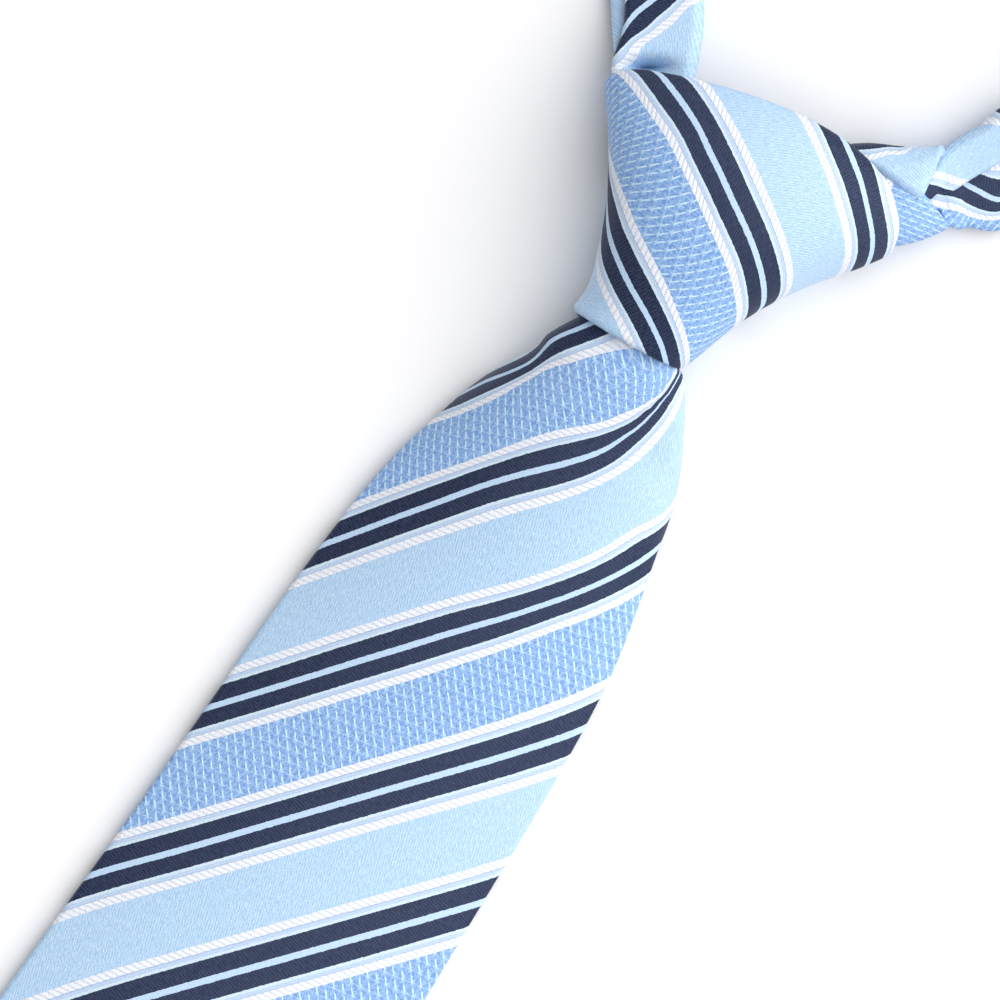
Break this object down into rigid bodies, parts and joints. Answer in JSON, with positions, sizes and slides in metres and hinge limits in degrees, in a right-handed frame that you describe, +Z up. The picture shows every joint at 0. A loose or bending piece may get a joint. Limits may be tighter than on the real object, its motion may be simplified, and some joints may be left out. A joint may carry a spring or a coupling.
{
  "type": "silk necktie",
  "caption": "Striped silk necktie tied in a four-in-hand knot, laid face up, with its pointed front and tail blades and an open neck loop folded lengthwise.",
  "frame": {"origin": "on the surface that the tie lies on, below the middle of the knot", "axes": "+Z up out of the tie's face, +Y along the tie from the knot towards the neck loop, +X to the right seen from above with the neck loop away from the viewer"},
  "size_m": [0.1351, 0.62, 0.0256],
  "materials": {
    "striped_silk": "woven jacquard silk, pale blue satin and textured bands with navy, light and white cord stripes"
  },
  "bodies": {
    "root": {"front_blade": "striped_silk", "tail_blade": "striped_silk", "knot_front_wrap": "striped_silk", "knot_inner_wrap": "striped_silk", "knot_core": "striped_silk", "neck_band": "striped_silk"}
  },
  "joints": []
}
